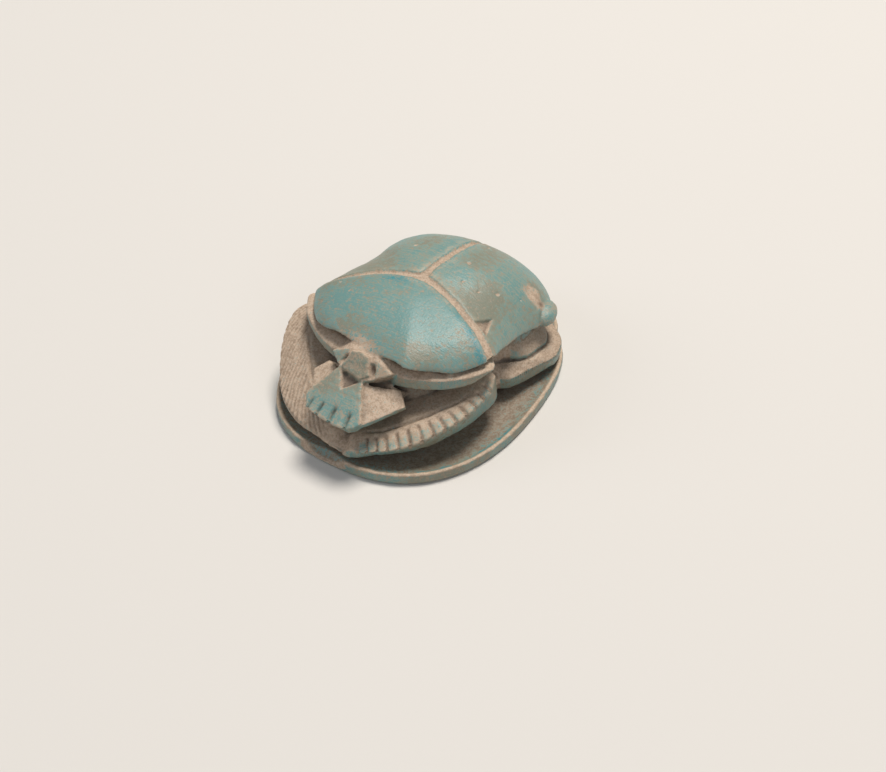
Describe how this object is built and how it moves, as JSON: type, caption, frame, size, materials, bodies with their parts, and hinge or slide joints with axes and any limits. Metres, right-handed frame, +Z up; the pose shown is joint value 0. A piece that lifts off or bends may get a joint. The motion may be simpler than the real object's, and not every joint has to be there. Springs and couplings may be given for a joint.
{
  "type": "scarab amulet",
  "caption": "Egyptian-style scarab beetle amulet carved from one piece of blue-green glazed steatite, flat oval base, pierced lengthwise.",
  "frame": {"origin": "middle of the base's box, on the flat underside", "axes": "+Z up through the beetle's back, +Y towards its tail along the length, +X towards its left side"},
  "size_m": [0.0164, 0.02, 0.0078],
  "materials": {
    "glazed_steatite": "worn blue-green glaze, bare buff stone in the carved bands, on the legs and in the hollows"
  },
  "bodies": {
    "root": {"scarab": "glazed_steatite"}
  },
  "joints": []
}
